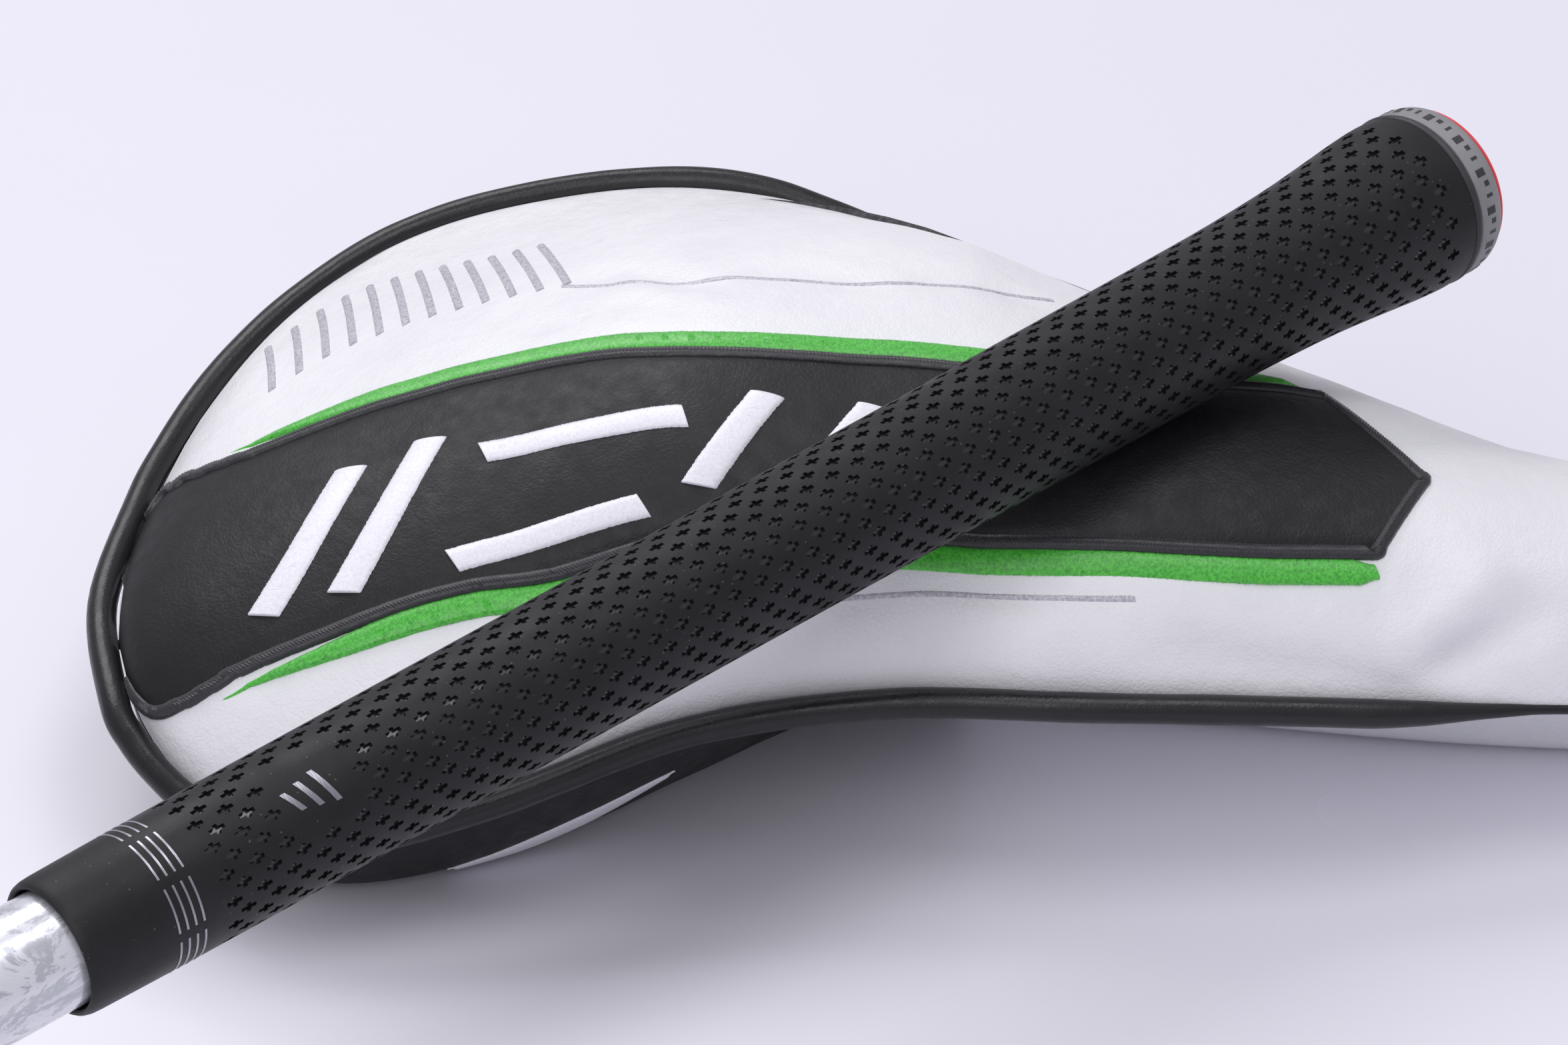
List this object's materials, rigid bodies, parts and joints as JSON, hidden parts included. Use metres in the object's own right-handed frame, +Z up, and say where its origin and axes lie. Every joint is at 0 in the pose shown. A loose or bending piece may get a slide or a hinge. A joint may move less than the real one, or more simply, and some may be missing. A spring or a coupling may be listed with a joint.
{
  "type": "fairway wood",
  "caption": "Golf fairway wood with a hollow head, adjustable hosel, painted shaft and cord-patterned rubber grip, resting on its own soft headcover.",
  "frame": {"origin": "centre of the bounding box in plan, on the surface that the head and the headcover lie on", "axes": "+X along the club from the head towards the butt of the grip, +Z up"},
  "size_m": [1.1958, 0.2638, 0.0921],
  "materials": {
    "head_steel": "satin dark finish",
    "face_steel": "brushed, dark score lines",
    "crown_composite": "gloss clear coat over woven fibre",
    "weight_metal": "cast",
    "seal_plastic": "matte",
    "adapter_alloy": "anodised",
    "cog_alloy": "anodised black",
    "ferrule_plastic": "gloss",
    "shaft_paint": "pearl silver-white camouflage under clear coat",
    "plug_plastic": "matte",
    "grip_tape_paper": "adhesive tape",
    "grip_rubber": "matte moulded with plus-shaped recesses",
    "grip_band_rubber": "matte",
    "grip_cap_red": "satin",
    "screw_steel": "machined",
    "cover_white_leather": "fine grain synthetic leather",
    "cover_black_leather": "fine grain synthetic leather",
    "cover_piping_black": "gloss piping",
    "cover_lining_fleece": "brushed fleece",
    "cover_thread_green": "satin stitch",
    "cover_thread_black": "satin stitch",
    "cover_thread_white": "satin stitch",
    "grip_paint_silver": "paint fill in moulded grooves"
  },
  "bodies": {
    "head": {"head_body": "head_steel", "face_plate": "face_steel", "crown_plate": "crown_composite", "inner_weight": "weight_metal"},
    "shaft_assembly": {"adapter_sleeve": "adapter_alloy", "adapter_cog": "cog_alloy", "ferrule": "ferrule_plastic", "shaft": "shaft_paint", "shaft_tip_plug": "plug_plastic", "grip_tape": "grip_tape_paper", "grip_sleeve": "grip_rubber", "grip_cap_band": "grip_band_rubber", "grip_end_cap": "grip_cap_red"},
    "hosel_washer": {"hosel_screw_washer": "seal_plastic"},
    "hosel_screw": {"hosel_screw": "screw_steel"},
    "weight_seal": {"rear_weight_seal": "seal_plastic"},
    "rear_weight": {"rear_weight": "weight_metal"},
    "headcover": {"cover_crown_panel": "cover_white_leather", "cover_sole_panel": "cover_black_leather", "cover_neck": "cover_white_leather", "cover_piping": "cover_piping_black", "cover_lining": "cover_lining_fleece"}
  },
  "joints": [
    {"name": "shaft_draw", "type": "slide", "parent": "head", "child": "shaft_assembly", "axis": [0.9986, 0, 0.0529], "range_m": [0, 0.055]},
    {"name": "hosel_screw_lift", "type": "slide", "parent": "head", "child": "hosel_washer", "axis": [-0.9986, 0, -0.0529], "range_m": [0, 0.0048]},
    {"name": "hosel_screw_turn", "type": "hinge", "parent": "hosel_washer", "child": "hosel_screw", "pos_m": [-0.55716, -0.00477, 0.02139], "axis": [-0.9986, 0, -0.0529], "range_deg": [0, 2160]},
    {"name": "rear_weight_lift", "type": "slide", "parent": "head", "child": "weight_seal", "axis": [-0.7986, -0.0778, -0.5968], "range_m": [0, 0.005]},
    {"name": "rear_weight_turn", "type": "hinge", "parent": "weight_seal", "child": "rear_weight", "pos_m": [-0.57492, 0.04312, 0.03072], "axis": [-0.7986, -0.0778, -0.5968], "range_deg": [0, 1800]},
    {"name": "headcover_slide", "type": "slide", "parent": "head", "child": "headcover", "axis": [0.6762, 0.7367, 0], "range_m": [0, 0.16]}
  ],
  "couplings": [
    {"joint": "hosel_screw_turn", "follows": "hosel_screw_lift", "rad_per_m": 7854},
    {"joint": "rear_weight_turn", "follows": "rear_weight_lift", "rad_per_m": 6283.2}
  ]
}
